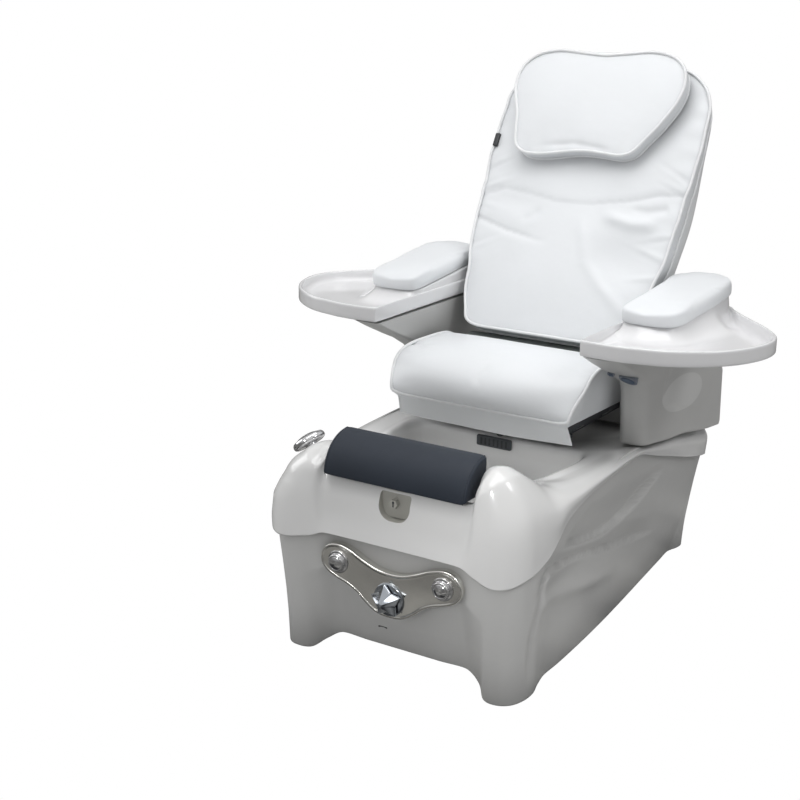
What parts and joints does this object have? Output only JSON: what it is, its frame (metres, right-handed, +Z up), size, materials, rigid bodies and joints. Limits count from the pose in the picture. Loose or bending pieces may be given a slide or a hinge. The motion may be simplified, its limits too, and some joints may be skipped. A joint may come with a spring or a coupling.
{
  "type": "pedicure spa chair",
  "caption": "Pedicure spa chair: moulded foot-bath base with taps and foot rest, sliding reclining massage seat, padded swivel arms with manicure trays.",
  "frame": {"origin": "on the floor, centre of the middle levelling foot, under the middle of the base", "axes": "+X to the sitter's left (right when seen from the front), -Y towards the foot bath end, +Z up"},
  "size_m": [1.3134, 1.2785, 1.4146],
  "materials": {
    "upper_shell": "glossy moulded acrylic, soft reflections",
    "lower_shell": "satin-gloss moulded fibreglass",
    "arm_pillar": "satin-gloss moulded fibreglass",
    "tray": "glossy moulded acrylic",
    "upholstery": "white synthetic leather, fine grain, piped seams",
    "footrest_pad": "dark navy synthetic leather, matte",
    "back_shell": "satin moulded back cover",
    "chrome": "polished chrome",
    "steel_frame": "powder-coated steel tube",
    "bright_steel": "ground steel shaft",
    "dark_plastic": "dark moulded plastic",
    "switch_blue": "dark blue-grey switch plastic",
    "brass": "cast brass fitting",
    "white_plastic": "white moulded plastic",
    "rubber": "black rubber",
    "hose": "braided hose"
  },
  "bodies": {
    "base": {"lower_shell": "lower_shell", "upper_shell": "upper_shell", "base_frame": "steel_frame", "levelling_feet": "rubber", "drain_body": "chrome", "drain_pipe": "dark_plastic", "jet_grille": "dark_plastic", "jet_housing": "dark_plastic", "jet_motor": "steel_frame", "faucet_plate": "chrome", "valve_bodies": "brass", "tub_spout": "chrome", "shower_holder": "chrome", "supply_hoses": "hose", "water_inlets": "brass", "control_box": "dark_plastic", "service_panel": "lower_shell", "panel_screws": "bright_steel", "slide_rails": "steel_frame", "slide_motor": "dark_plastic", "left_arm_pillar": "arm_pillar", "right_arm_pillar": "arm_pillar", "arm_bushes": "dark_plastic", "switch_bezels": "arm_pillar", "footrest_guide": "steel_frame", "rear_cover": "arm_pillar"},
    "carriage": {"seat_frame": "steel_frame", "slide_blocks": "bright_steel", "slide_rod": "bright_steel", "seat_cushion": "upholstery", "seat_skirt": "upholstery", "recline_motor": "dark_plastic", "hinge_pins": "bright_steel"},
    "backrest": {"back_frame": "steel_frame", "back_shell": "back_shell", "back_cushion": "upholstery", "back_tab": "dark_plastic", "massage_rails": "bright_steel"},
    "pillow": {"head_pillow": "upholstery", "pillow_strap": "upholstery"},
    "recline_actuator_rod": {"recline_rod": "bright_steel"},
    "massage_unit": {"massage_carriage": "dark_plastic"},
    "kneading_shaft": {"kneading_rollers": "white_plastic"},
    "left_arm_top": {"left_tray": "tray", "left_arm_pad": "upholstery", "left_swivel_pin": "bright_steel"},
    "right_arm_top": {"right_tray": "tray", "right_arm_pad": "upholstery", "right_swivel_pin": "bright_steel"},
    "footrest": {"footrest_post": "bright_steel", "footrest_pad": "footrest_pad"},
    "footrest_clamp": {"footrest_knob": "dark_plastic"},
    "hot_tap": {"hot_handle": "chrome"},
    "cold_tap": {"cold_handle": "chrome"},
    "diverter": {"diverter_handle": "chrome"},
    "shower_handset": {"hand_shower": "chrome"},
    "stopper": {"drain_stopper": "chrome"},
    "impeller": {"jet_impeller": "white_plastic"},
    "power_rocker": {"rocker_switch": "switch_blue"},
    "massage_push": {"massage_button": "switch_blue"}
  },
  "joints": [
    {"name": "seat_slide", "type": "slide", "parent": "base", "child": "carriage", "axis": [0, -1, 0], "range_m": [-0.05, 0.08]},
    {"name": "back_recline", "type": "hinge", "parent": "carriage", "child": "backrest", "pos_m": [0, 0.15, 0.59], "axis": [-1, 0, 0], "range_deg": [-15, 25]},
    {"name": "recline_rod_stroke", "type": "slide", "parent": "carriage", "child": "recline_actuator_rod", "axis": [0, -1, 0], "range_m": [-0.03, 0.05]},
    {"name": "pillow_flip", "type": "hinge", "parent": "backrest", "child": "pillow", "pos_m": [0, 0.57062, 1.35782], "axis": [-1, 0, 0], "range_deg": [0, 170]},
    {"name": "massage_travel", "type": "slide", "parent": "backrest", "child": "massage_unit", "axis": [0, 0.5, 0.866], "range_m": [-0.1, 0.3]},
    {"name": "kneading_spin", "type": "hinge", "parent": "massage_unit", "child": "kneading_shaft", "pos_m": [0, 0.30975, 0.87797], "axis": [1, 0, 0], "continuous": true},
    {"name": "left_arm_swivel", "type": "hinge", "parent": "base", "child": "left_arm_top", "pos_m": [-0.338, 0.262, 0.757], "axis": [0, 0, -1], "range_deg": [0, 50]},
    {"name": "right_arm_swivel", "type": "hinge", "parent": "base", "child": "right_arm_top", "pos_m": [0.338, 0.262, 0.757], "axis": [0, 0, 1], "range_deg": [0, 50]},
    {"name": "footrest_lift", "type": "slide", "parent": "base", "child": "footrest", "axis": [0, 0, 1], "range_m": [0, 0.06]},
    {"name": "footrest_knob_turn", "type": "hinge", "parent": "base", "child": "footrest_clamp", "pos_m": [0, -0.57, 0.436], "axis": [0, -1, 0], "range_deg": [0, 180]},
    {"name": "hot_tap_turn", "type": "hinge", "parent": "base", "child": "hot_tap", "pos_m": [-0.144, -0.6, 0.265], "axis": [0, -1, 0], "range_deg": [0, 90]},
    {"name": "cold_tap_turn", "type": "hinge", "parent": "base", "child": "cold_tap", "pos_m": [0.144, -0.6, 0.265], "axis": [0, -1, 0], "range_deg": [-90, 0]},
    {"name": "diverter_turn", "type": "hinge", "parent": "base", "child": "diverter", "pos_m": [0, -0.6, 0.204], "axis": [0, -1, 0], "range_deg": [-60, 60]},
    {"name": "shower_lift", "type": "slide", "parent": "base", "child": "shower_handset", "axis": [-0.6157, 0, 0.788], "range_m": [0, 0.12]},
    {"name": "stopper_lift", "type": "slide", "parent": "base", "child": "stopper", "axis": [0, 0, 1], "range_m": [0, 0.015]},
    {"name": "impeller_spin", "type": "hinge", "parent": "base", "child": "impeller", "pos_m": [0, -0.04, 0.33], "axis": [0, 1, 0], "continuous": true},
    {"name": "rocker_tilt", "type": "hinge", "parent": "base", "child": "power_rocker", "pos_m": [0.331, -0.09157, 0.68356], "axis": [0.9781, -0.1827, 0.0993], "range_deg": [-4, 4]},
    {"name": "button_press", "type": "slide", "parent": "base", "child": "massage_push", "axis": [0, 0.4775, 0.8787], "range_m": [0, 0.002]}
  ],
  "couplings": [
    {"joint": "recline_rod_stroke", "follows": "back_recline", "m_per_rad": 0.109}
  ]
}
